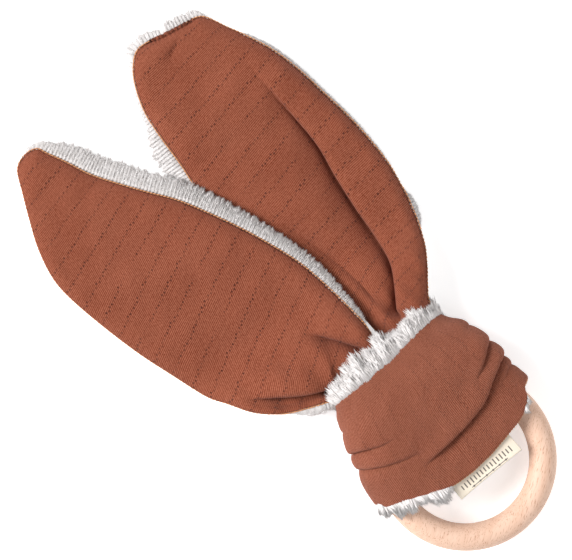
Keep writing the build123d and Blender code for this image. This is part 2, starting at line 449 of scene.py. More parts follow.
def tape_finish(name):
    """Cream woven tape with a plain row of bars and a beaded line, and no lettering."""
    finish = Finish(name, Roughness=0.8, Sheen_Weight=0.2, Specular_IOR_Level=0.25)
    cloth = finish.cloth()
    across, along, _ = finish.split(cloth)
    weave = (across * 2 * math.pi / 0.45).sine() * (along * 2 * math.pi / 0.45).sine()
    bar = (across / BAR_PITCH).floor()
    uneven = finish.scatter(finish.combine(bar, 3.0))
    from_bar = abs((across / BAR_PITCH) % 1.0 - 0.5) * BAR_PITCH
    bars = (1.0 - from_bar.ramp(0.16, 0.34)) * (
        1.0 - abs(along - 3.5).ramp(0.8 + uneven * 0.4, 1.1 + uneven * 0.4)
    )
    dots = ((across / 3.1) % 1.0 - 0.5) * 3.1
    line_gap = along - 1.2
    beads = 1.0 - ((dots * dots + line_gap * line_gap) ** 0.5).ramp(0.3, 0.5)
    thread = 1.0 - abs(line_gap).ramp(0.08, 0.22)
    ink = (bars + (thread + beads) * (1.0 - abs(across).ramp(8.6, 8.8))) * (
        1.0 - abs(across).ramp(11.8, 12.0)
    )
    colour = finish.blend((weave * 0.5 + 0.5) * 0.3, rgb(238, 226, 208), rgb(220, 206, 186))
    colour = finish.blend(ink.ramp(0.2, 0.8) * 0.9, colour, rgb(70, 64, 62))
    finish.feed("Base Color", colour)
    finish.emboss(weave, 0.08, 0.6)
    return finish.material


def thread_finish(name):
    """Sewing thread, a little lighter and more orange than the knit."""
    finish = Finish(name, Roughness=0.7, Sheen_Weight=0.3)
    tone = finish.noise(finish.place(), 2.5)
    finish.feed("Base Color", finish.blend(tone.ramp(0.3, 0.7), rgb(188, 116, 66), rgb(214, 146, 88)))
    return finish.material


KNIT = knit_finish("rust_eyelet_knit")
# painted light: the knot's knit is the same knit made 12 lighter, for light the band loses as it turns from
# the key light
KNOT_KNIT = knit_finish("rust_rib_knit", eyelets=0.35, relief=0.5, lift=12)
# painted shade: these copies of one plush are darkened by their own amounts, the woven base most, then the
# knot's pile, then the ears' pile
PLUSH = plush_finish("plush_base", streaks=True, painted_shade=20)
PILE = plush_finish("plush_pile", streaks=False, painted_shade=7)
KNOT_PILE = plush_finish("knot_pile", streaks=False, painted_shade=13)
BEECH = beech_finish("oiled_beech")
TAPE = tape_finish("woven_tape")
THREAD = thread_finish("seam_thread")


# ---------------------------------------------------------------- pile
def hair_shape():
    """One tapering hair, one unit long, slightly bent, with three sides."""
    rings = [(0.0, 0.0, 0.075), (0.5, 0.05, 0.055)]
    points = []
    for height, lean, radius in rings:
        for corner in range(3):
            angle = corner * 2 * math.pi / 3
            points.append((lean + radius * math.cos(angle), radius * math.sin(angle), height))
    points.append((0.18, 0.0, 1.0))
    faces = [(0, 2, 1)]
    for a in range(3):
        b = (a + 1) % 3
        faces += [(a, b, b + 3, a + 3), (a + 3, b + 3, 6)]
    mesh = bpy.data.meshes.new("hair")
    mesh.from_pydata(points, [], faces)
    mesh.polygons.foreach_set("use_smooth", [True] * len(mesh.polygons))
    return bpy.data.objects.new("hair", mesh)


HAIR = hair_shape()


def pile_tree():
    """Geometry nodes that plant hairs on a surface along its "hair" vectors, leaning together in locks."""
    group = bpy.data.node_groups.new("plant_pile", "GeometryNodeTree")
    group.interface.new_socket("Base", in_out="INPUT", socket_type="NodeSocketGeometry")
    for name, kind in (("Per square metre", "Float"), ("Seed", "Int"), ("Lock size", "Float"),
                       ("Lock lean", "Float")):
        group.interface.new_socket(name, in_out="INPUT", socket_type=f"NodeSocket{kind}")
    group.interface.new_socket("Pile", in_out="OUTPUT", socket_type="NodeSocketGeometry")
    tree = Tree(group)
    given = tree.node("NodeGroupInput").socket.node
    base, density, seed, lock_size, lock_lean = [Signal(tree, socket) for socket in given.outputs[:5]]
    thickness = tree.node("GeometryNodeInputNamedAttribute", {"data_type": "FLOAT"}, {"Name": "density"})
    values = {"Mesh": base, "Density": density * thickness, "Seed": seed}
    planted = tree.node("GeometryNodeDistributePointsOnFaces", {}, values)
    hair = tree.node("GeometryNodeInputNamedAttribute", {"data_type": "FLOAT_VECTOR"}, {"Name": "hair"})
    place = tree.node("GeometryNodeInputPosition")
    swirl = tree.node("ShaderNodeTexNoise", {}, {"Vector": place, "Scale": lock_size, "Detail": 1.0},
                      output=1)
    swirl = tree.node("ShaderNodeVectorMath", {"operation": "SUBTRACT"}, {0: swirl, 1: (0.5, 0.5, 0.5)})
    length = tree.node("ShaderNodeVectorMath", {"operation": "LENGTH"}, {0: hair}, output=1)
    swirl = tree.node("ShaderNodeVectorMath", {"operation": "SCALE"},
                      {0: swirl, "Scale": lock_lean * length})
    way = tree.node("ShaderNodeVectorMath", {"operation": "ADD"}, {0: hair, 1: swirl})
    jitter = tree.node(
        "FunctionNodeRandomValue", {"data_type": "FLOAT_VECTOR"},
        {0: (-0.13, -0.13, -0.13), 1: (0.13, 0.13, 0.13), 8: seed}
    )
    jitter = tree.node("ShaderNodeVectorMath", {"operation": "SCALE"}, {0: jitter, "Scale": length})
    way = tree.node("ShaderNodeVectorMath", {"operation": "ADD"}, {0: way, 1: jitter})
    turn = tree.node("FunctionNodeAlignRotationToVector", {"axis": "Z"}, {"Vector": way})
    spin = tree.node("FunctionNodeRandomValue", {"data_type": "FLOAT"}, {2: 0.0, 3: 2 * math.pi, 8: seed},
                     output=1)
    roll = tree.node("FunctionNodeAxisAngleToRotation", {}, {"Axis": (0, 0, 1), "Angle": spin})
    turn = tree.node("FunctionNodeRotateRotation", {"rotation_space": "LOCAL"},
                     {"Rotation": turn, "Rotate By": roll})
    size = tree.node("FunctionNodeRandomValue", {"data_type": "FLOAT"}, {2: 0.65, 3: 1.15, 8: seed + 1},
                     output=1)
    shape = tree.node("GeometryNodeObjectInfo", {}, {"Object": HAIR}, output=4)
    values = {"Points": planted, "Instance": shape, "Rotation": turn, "Scale": size * length}
    hairs = tree.node("GeometryNodeInstanceOnPoints", {}, values)
    hairs = tree.node("GeometryNodeRealizeInstances", {}, {"Geometry": hairs})
    hairs = tree.node("GeometryNodeSetMaterial", {}, {"Geometry": hairs, "Material": PILE})
    tree.node("NodeGroupOutput", {}, {"Pile": hairs})
    return group


PILE_TREE = pile_tree()


def grow_pile(name, base_points, faces, hair, density, per_mm2, seed, lock_mm=3.0, lock_lean=0.55,
              finish=PILE):
    """A piece of plush pile: hairs grown from a hidden base, with a hair vector in millimetres per point."""
    base = make_piece(name, base_points, faces)
    vectors = base.data.attributes.new("hair", "FLOAT_VECTOR", "POINT")
    vectors.data.foreach_set("vector", (np.asarray(hair).reshape(-1, 3) * MM).ravel())
    share = base.data.attributes.new("density", "FLOAT", "POINT")
    share.data.foreach_set("value", np.asarray(density, float).ravel())
    plant = base.modifiers.new("plant", "NODES")
    plant.node_group = PILE_TREE
    wanted = {
        "Per square metre": per_mm2 / MM**2,
        "Seed": seed,
        "Lock size": 1 / (lock_mm * MM),
        "Lock lean": lock_lean,
    }
    for socket in PILE_TREE.interface.items_tree:
        if socket.in_out == "INPUT" and socket.name in wanted:
            plant[socket.identifier] = wanted[socket.name]
    settle(base)
    base.data.materials.clear()
    base.data.materials.append(finish)
    return base


def locks(points, way, length, spacing, seed, gather=0.7):
    """Hair vectors that draw together into pointed locks: one lock every spacing or so, in millimetres."""
    rng = np.random.default_rng(seed)
    flat, toward = points.reshape(-1, 3), way.reshape(-1, 3)
    reach = np.broadcast_to(length, points.shape[:-1]).reshape(-1)
    steps = [np.linalg.norm(np.gradient(points, axis=axis), axis=2) for axis in (0, 1)]
    area = steps[0] * steps[1]
    count = max(12, int(area.sum() / spacing**2))
    chosen = rng.choice(len(flat), count, replace=False)
    tips = flat[chosen] + toward[chosen] * (reach[chosen] * rng.uniform(0.65, 1.25, count))[:, None]
    tree = KDTree(count)
    for index, point in enumerate(flat[chosen]):
        tree.insert(point, index)
    tree.balance()
    nearest = np.array([tree.find(point)[1] for point in flat])
    hair = (tips[nearest] - flat) * gather + toward * (reach * (1 - gather))[:, None]
    return hair.reshape(points.shape)


def stitch_shape():
    """One stitch of sewing thread: a short bead, one unit long along X."""
    points = [(-0.5, 0.0, 0.0)]
    for x, radius in ((-0.3, 0.17), (0.3, 0.17)):
        for corner in range(5):
            angle = corner * 2 * math.pi / 5
            points.append((x, radius * math.cos(angle), radius * math.sin(angle)))
    points.append((0.5, 0.0, 0.0))
    faces = []
    for a in range(5):
        b = (a + 1) % 5
        faces += [(0, b + 1, a + 1), (a + 1, b + 1, b + 6, a + 6), (a + 6, b + 6, 11)]
    mesh = bpy.data.meshes.new("stitch")
    mesh.from_pydata(points, [], faces)
    mesh.polygons.foreach_set("use_smooth", [True] * len(mesh.polygons))
    stitch = bpy.data.objects.new("stitch", mesh)
    face_outwards(stitch)
    return stitch


STITCH_BEAD = stitch_shape()


def sewing_tree():
    """Geometry nodes that sew stitches along a line."""
    group = bpy.data.node_groups.new("sew_seam", "GeometryNodeTree")
    group.interface.new_socket("Line", in_out="INPUT", socket_type="NodeSocketGeometry")
    group.interface.new_socket("Pitch", in_out="INPUT", socket_type="NodeSocketFloat")
    group.interface.new_socket("Stitch", in_out="INPUT", socket_type="NodeSocketFloat")
    group.interface.new_socket("Seam", in_out="OUTPUT", socket_type="NodeSocketGeometry")
    tree = Tree(group)
    given = tree.node("NodeGroupInput").socket.node
    line, pitch, size = [Signal(tree, socket) for socket in given.outputs[:3]]
    path = tree.node("GeometryNodeMeshToCurve", {}, {"Mesh": line})
    path = tree.node("GeometryNodeResampleCurve", {"mode": "LENGTH"}, {"Curve": path, "Length": pitch})
    tangent = tree.node("GeometryNodeInputTangent")
    turn = tree.node("FunctionNodeAlignRotationToVector", {"axis": "X"}, {"Vector": tangent})
    tilt = tree.node("FunctionNodeAxisAngleToRotation", {}, {"Axis": (0, 0, 1), "Angle": math.radians(12)})
    turn = tree.node("FunctionNodeRotateRotation", {"rotation_space": "LOCAL"},
                     {"Rotation": turn, "Rotate By": tilt})
    shape = tree.node("GeometryNodeObjectInfo", {}, {"Object": STITCH_BEAD}, output=4)
    values = {"Points": path, "Instance": shape, "Rotation": turn, "Scale": size}
    sewn = tree.node("GeometryNodeInstanceOnPoints", {}, values)
    sewn = tree.node("GeometryNodeRealizeInstances", {}, {"Geometry": sewn})
    sewn = tree.node("GeometryNodeSetMaterial", {}, {"Geometry": sewn, "Material": THREAD})
    tree.node("NodeGroupOutput", {}, {"Seam": sewn})
    return group


SEWING_TREE = sewing_tree()


def sew(name, line, pitch=1.15, size=1.3):
    """A row of stitches along a line of points in millimetres."""
    mesh = bpy.data.meshes.new(name)
    mesh.from_pydata((np.asarray(line) * MM).tolist(), [(i, i + 1) for i in range(len(line) - 1)], [])
    seam = bpy.data.objects.new(name, mesh)
    bpy.context.scene.collection.objects.link(seam)
    needle = seam.modifiers.new("sew", "NODES")
    needle.node_group = SEWING_TREE
    wanted = {"Pitch": pitch * MM, "Stitch": size * MM}
    for socket in SEWING_TREE.interface.items_tree:
        if socket.in_out == "INPUT" and socket.name in wanted:
            needle[socket.identifier] = wanted[socket.name]
    settle(seam)
    seam.data.materials.clear()
    seam.data.materials.append(THREAD)
    return seam


# ---------------------------------------------------------------- ears
class Ear:
    """One end of the strip: its two seams from the knot to the tip, its folds and its plush edges."""

    def __init__(self, side, left_seam, right_seam, left_height, right_height, creases, left_rim, right_rim,
                 gathers, cut, skew, tufts, hairs, swell):
        self.tufts, self.hairs, self.swell = tufts, hairs, swell
        self.side, self.creases, self.gathers, self.cut, self.skew = side, creases, gathers, cut, skew
        self.left_seam, self.right_seam = left_seam, right_seam
        self.left_height, self.right_height = left_height, right_height
        self.left_rim, self.right_rim = left_rim, right_rim

    def base_drop(self, y):
        """How much higher than on the table the ear lies, near the knot."""
        rise = EAR_TOP_AT_HINGE - (TABLE + EAR_HEIGHT)
        return rise * (1 - smoothstep(DROP_START, DROP_END, y))

    def grid(self, rows, columns):
        """Plan points of the knit, the distance in from the nearer seam, the seams' height, and its flat."""
        left = curve_through(self.left_seam, rows)
        right = curve_through(self.right_seam, rows)
        even = np.linspace(0, 1, columns)
        u = 0.65 * even + 0.35 * (0.5 - 0.5 * np.cos(math.pi * even))
        plan = left[:, None, :] * (1 - u)[None, :, None] + right[:, None, :] * u[None, :, None]
        width = np.linalg.norm(right - left, axis=1)
        inset = distance_to_line(plan, np.concatenate([left[::2], right[::-2]]))
        along = np.linspace(0, 1, rows)
        lift = profile(self.left_height, left[:, 1])[:, None] * (1 - u)[None]
        lift = lift + profile(self.right_height, right[:, 1])[:, None] * u[None]
        middle = (left + right) / 2
        length = np.linalg.norm(np.diff(middle, axis=0), axis=1).sum()
        cut_width = np.maximum(width, self.cut * (1 - smoothstep(0.12, 0.5, along)))
        flat = np.zeros((rows, columns, 2))
        flat[..., 0] = (u[None, :] - 0.5) * cut_width[:, None]
        flat[..., 1] = (along * length * 1.05)[:, None] - self.skew * flat[..., 0]
        return plan, inset, lift, flat

    def surface(self, rows, columns):
        """The knit's upper surface."""
        plan, inset, lift, flat = self.grid(rows, columns)
        x, y = plan[..., 0], plan[..., 1]
        roll = np.clip(inset / EDGE_ROLL, 0, 1)
        crown = np.sqrt(1 - (1 - roll) ** 2)
        z = TABLE + EAR_SEAM_HEIGHT + lift + (EAR_HEIGHT - EAR_SEAM_HEIGHT) * crown + self.base_drop(y)
        z = z + 0.8 * roll * ripples(x, y, 38.0, 3) + 0.2 * roll * ripples(x, y, 13.0, 5)
        near_knot = 1 - smoothstep(50, 88, y)
        z = z + near_knot * 1.8 * crown * self.gathers(x, y) + crown * self.swell(x, y)
        shift_x, shift_y = np.zeros_like(x), np.zeros_like(y)
        keep = np.clip(inset / 3.0, 0, 1)
        for crease in self.creases:
            rise, dx, dy = crease.moves(x, y)
            z, shift_x, shift_y = z + rise * keep, shift_x + dx * keep, shift_y + dy * keep
        floor = TABLE + PANEL_BOTTOM + PANEL_THICKNESS + KNIT_THICKNESS + 0.1 + 0.75 * self.base_drop(y)
        z = floor + np.logaddexp(0.0, (z - floor) * 2.5) / 2.5
        points = np.stack([x + shift_x, y + shift_y, z], axis=2)
        return points, flat

    def knit(self):
        points, flat = self.surface(210, 150)
        rows, columns = points.shape[:2]
        piece = make_piece(f"{self.side}_ear_knit", points, grid_faces(rows, columns), flat, merge=0.02)
        thicken(piece, KNIT_THICKNESS)
        piece.data.materials.append(KNIT)
        return piece

    def outline(self, count):
        """The two seams as one line up the left and down the right, its outward way and its rim."""
        points, _ = self.surface(count, 12)
        left, right = points[:, 0], points[::-1, -1]
        line = np.concatenate([left[:-2], right[2:]])
        along = np.gradient(line, axis=0)
        for _ in range(4):
            along[1:-1] = (along[:-2] + along[1:-1] * 2 + along[2:]) / 4
        outward = np.stack([-along[:, 1], along[:, 0], np.zeros(len(line))], axis=1)
        outward /= np.linalg.norm(outward, axis=1)[:, None]
        rim = np.concatenate([profile(self.left_rim, left[:-2, 1]), profile(self.right_rim, right[2:, 1])])
        reach = np.concatenate([[0], np.cumsum(np.linalg.norm(np.diff(line, axis=0), axis=1))])
        scallop = 1 + 0.10 * np.sin(reach * 0.62 + 1.9 * np.sin(reach * 0.17)) + 0.05 * np.sin(reach * 1.7)
        return line, outward, np.maximum(rim * scallop, 0.02)

    def rim(self, count, steps, inner=-1.4):
        """The plush edge past the seams, as loops round each point of the outline from below to on top."""
        line, outward, reach = self.outline(count)
        angle = np.linspace(-math.pi / 2, math.pi / 2, steps)
        cosine, sine = np.abs(np.cos(angle)) ** 0.72, np.sign(np.sin(angle)) * np.abs(np.sin(angle)) ** 0.8
        out = inner + (reach[:, None] - inner) * cosine[None]
        height = line[:, 2:3] - 0.25 - RIM_THICKNESS / 2 + RIM_THICKNESS / 2 * sine[None]
        droop = np.where(out > 0, out * 0.12, -out * 0.9)
        points = line[:, None, :] + outward[:, None, :] * out[..., None]
        points[..., 2] = np.maximum(height - droop, TABLE + PANEL_BOTTOM)
        return points, outward, reach, cosine, sine

    def plush(self):
        """The woven base of the plush: the panel under the knit and its edge past the seams."""
        plan, _, _, _ = self.grid(110, 40)
        panel = np.zeros((110, 40, 3))
        panel[..., :2] = plan
        panel[..., 2] = TABLE + PANEL_BOTTOM + PANEL_THICKNESS + 0.45 * self.base_drop(plan[..., 1])
        under = panel.copy()
        under[..., 2] -= PANEL_THICKNESS
        loops = np.concatenate([panel, under[:, ::-1]], axis=1)
        faces = grid_faces(110, 80, closed=True)
        faces += [tuple(range(80)), tuple(reversed(range(109 * 80, 110 * 80)))]
        edge, *_ = self.rim(260, 14)
        shift = loops.shape[0] * loops.shape[1]
        count, steps = edge.shape[:2]
        more = grid_faces(count, steps, closed=True)
        more += [tuple(range(steps)), tuple(reversed(range((count - 1) * steps, count * steps)))]
        faces += [tuple(index + shift for index in face) for face in more]
        points = np.concatenate([loops.reshape(-1, 3), edge.reshape(-1, 3)])
        piece = make_piece(f"{self.side}_ear_plush_panel", points, faces)
        face_outwards(piece)
        piece.data.materials.append(PLUSH)
        return piece

    def edge_pile(self):
        """Hairs that lie outwards over the plush edge."""
        points, outward, reach, cosine, sine = self.rim(520, 14)
        faces = grid_faces(*points.shape[:2])
        shown = smoothstep(0.4, 1.6, reach)[:, None] * np.ones_like(sine)[None]
        over = smoothstep(60, 70, points[..., 1]) * (1 - smoothstep(145, 158, points[..., 1]))
        length = np.clip(0.6 + 0.08 * reach, 0.6, 1.2)[:, None]
        length = length + self.tufts * over * smoothstep(0.2, 0.7, cosine)[None]
        way = outward[:, None, :] * np.ones((1, len(sine), 1))
        way[..., 2] += 0.12 * sine[None] + 0.02
        hair = locks(points, way, length, 1.2, 17, gather=0.1)
        cover = 0.85 + 0.15 * over * min(1.0, self.tufts)
        density = shown * np.where(sine > -0.5, 1.0, 0.3)[None] * cover
        density = density * np.where(cosine > 0.25, 1.0, 0.0)[None]
        return grow_pile(f"{self.side}_ear_edge_pile", points, faces, hair, density, self.hairs, 11, 1.5,
                         0.95)

    def under_pile(self):
        """Hairs of the underside, lying towards the tip."""
        plan, _, _, _ = self.grid(90, 40)
        points = np.zeros((90, 40, 3))
        points[..., :2] = plan
        points[..., 2] = TABLE + PANEL_BOTTOM + 0.45 * self.base_drop(plan[..., 1])
        faces = [tuple(reversed(face)) for face in grid_faces(90, 40)]
        way = np.gradient(points, axis=0)
        way = way / np.maximum(np.linalg.norm(way, axis=2), 0.001)[..., None]
        hair = locks(points, way, 3.0, 4.0, 19, gather=0.4)
        return grow_pile(f"{self.side}_ear_under_pile", points, faces, hair, np.ones((90, 40)), 1.3, 23, 4.0,
                         0.3)

    def stitches(self):
        """The sewn seam that joins the knit to the plush."""
        line, outward, reach = self.outline(260)
        shown = smoothstep(0.2, 0.8, reach)
        seam = line + outward * (0.05 + 0.25 * shown)[:, None]
        seam[:, 2] -= 0.6 - 0.5 * shown
        return sew(f"{self.side}_ear_stitches", seam[6:-6])


LEFT_EAR = Ear(
    "left",
    left_seam=[
        (-15, 38), (-18, 45), (-24, 50.5), (-32, 54), (-42, 59), (-50, 66), (-56, 75), (-61, 83), (-66, 98),
        (-70.5, 113), (-74.5, 131), (-77, 147), (-76.8, 157), (-74, 168), (-70, 177.5), (-65, 188),
        (-60.5, 196.5),
        (-54.5, 199.3),
    ],
    right_seam=[
        (-1, 38), (1, 45), (2.5, 54), (3.4, 64), (2.8, 76), (1.5, 88), (-0.5, 99), (-4, 110), (-9, 123),
        (-15, 136), (-21, 147.5), (-28, 157.5), (-35, 168), (-40.5, 177), (-44.5, 186.5), (-48, 194),
        (-49.8, 197.8),
        (-54.5, 199.3),
    ],
    creases=[
        Crease([(-52, 72.5), (-45, 68.5), (-37, 64), (-30, 59.5), (-19, 54)], 7.4, 2.0, 3.0, 1.0, 8.0,
               (0.5, 0.04)),
        Crease([(-18, 79), (-11, 70.5), (-6, 63.5), (-1.5, 56)], 5.6, 1.2, 1.6, 1.6, 7.0, (0.5, 0.1)),
        Crease([(-50, 174), (-44, 173), (-37.5, 171.5)], 0.35, 0.1, 0.0, 0.6, 1.6, (0.4, 0.3), 4.0),
    ],
    left_height=[(38, 0), (210, 0)],
    right_height=[(38, 0.8), (60, 2.8), (80, 4.0), (125, 4.0), (150, 2.2), (176, 0.4), (190, 0), (210, 0)],
    left_rim=[(38, 0.5), (49, 3.0), (54, 3.4), (60, 0.4), (80, 0.0), (150, 0.0), (185, 0.0), (196, 0.4),
              (200, 1.0)],
    right_rim=[(38, 0.3), (60, 0.3), (66, 0.8), (76, 1.8), (90, 3.2), (110, 4.2), (137, 6.0), (152, 7.2),
               (165, 7.8),
               (180, 7.8), (190, 6.4), (196, 4.0), (199.5, 1.6)],
    gathers=lambda x, y: np.sin(x * 0.36 + y * 0.20) * 0.6 + np.sin(x * 0.7 - y * 0.1 + 1.0) * 0.2,
    cut=80.0,
    skew=0.2,
    tufts=1.1,
    hairs=5.0,
    swell=lambda x, y: 1.2 * smoothstep(-40, -8, x + 0.3 * (y - 80)) * (1 - smoothstep(120, 170, y)),
)

RIGHT_EAR = Ear(
    "right",
    left_seam=[
        (4, 38), (5, 47), (5.5, 57), (5, 70), (3, 84), (0, 98), (-3, 110), (-7, 124), (-11, 137),
        (-11.8, 147), (-10.6, 158), (-9.8, 170), (-8.5, 181), (-5, 191), (-1, 197.5), (4, 201.6), (9, 201.8),
        (17, 199.5),
    ],
    right_seam=[
        (24, 38), (26, 47), (28, 56), (31.5, 61), (36, 66.5), (41, 73.5), (45, 82.5), (48.3, 93),
        (50.5, 105),
        (51, 118), (50.4, 131), (49, 143), (47.4, 156), (44.6, 168.5), (40, 180), (36.8, 187), (34, 193),
        (31, 196.6), (25, 197.9), (17, 199.5),
    ],
    creases=[
        Crease([(33.5, 176), (34.2, 150), (35, 130), (33, 115), (31, 100), (30, 88), (27.5, 76), (22, 67),
                (15, 57)],
               8.6, 1.4, 3.2, 1.0, 7.5, (0.55, 0.04), 12.0),
        Crease([(0, 130), (6, 110), (10, 94), (12.5, 79), (12.5, 64)], 3.2, 0.3, 0.0, 5.0, 6.0, (0.5, 0.15),
               9.0),
        Crease([(9.3, 190.5), (15, 192.8), (22, 195.4)], 0.9, 0.4, 0.0, 1.0, 3.0, (0.4, 0.4)),
    ],
    left_height=[(38, -1.4), (60, -2.2), (140, -2.2), (158, -0.4), (170, 0), (210, 0)],
    right_height=[(38, 0), (210, 0)],
    left_rim=[(38, 0.3), (120, 0.6), (140, 2.4), (150, 4.8), (163, 7.0), (172, 4.8), (178, 2.4), (192, 1.2),
              (198, 1.8), (200.6, 3.6), (202, 4.2)],
    right_rim=[(38, 0.4), (60, 0.3), (76, 0.2), (84, 2.0), (90, 2.0), (97, 0.5), (112, 1.0), (150, 1.3),
               (176, 1.4),
               (183, 0.5), (192, 0.5), (195.6, 1.4), (197, 3.6), (198.5, 4.4), (202, 4.4)],
    gathers=lambda x, y: np.sin(x * 0.5 + y * 0.12 + 0.5) * 0.5 + np.sin(x * 1.05 + 2.0) * 0.25,
    cut=78.0,
    skew=0.25,
    tufts=0.0,
    hairs=8.0,
    swell=lambda x, y: 2.6 * smoothstep(2, 20, x + 0.2 * (y - 80)) * (1 - smoothstep(150, 192, y)),
)

# ---------------------------------------------------------------- knot
KNOT_LEFT = [(-20, -38.6), (0, -38.4), (9, -38.2), (18, -36.9), (27, -34.4), (34, -32), (43, -28),
             (48, -25.3), (60, -22)]
KNOT_RIGHT = [(-20, 39), (0, 39.2), (9, 39.3), (18, 38.6), (27, 37.6), (35, 35.8), (42, 33.6), (48, 29.4),
              (60, 25)]
KNOT_FRONT = [(-20, 7), (-4, 9.6), (9, 12.4), (22, 15.6), (35, 17), (48, 14.6), (60, 12)]
FRONT_HEM = [(-60, 11), (-38, 10), (-35, 7.4), (-28, 5.2), (-18, 0.9), (-10, -1.9), (0, -2.7), (10, -2.2),
             (20, -0.5),
             (28, 1.7), (33, 5), (38, 10), (60, 11)]
BACK_HEM = [(-60, 10), (-38, 8), (-31, 4), (-15, 3), (0, 8.5), (15, 3), (31, 4), (38, 8), (60, 10)]
FRONT_TOP = [(-40, 48.4), (-25, 48.5), (0, 48.7), (15, 49.5), (28, 50.2), (40, 49.6)]
BACK_TOP = 45.0
KNOT_ROUNDNESS = 2.9


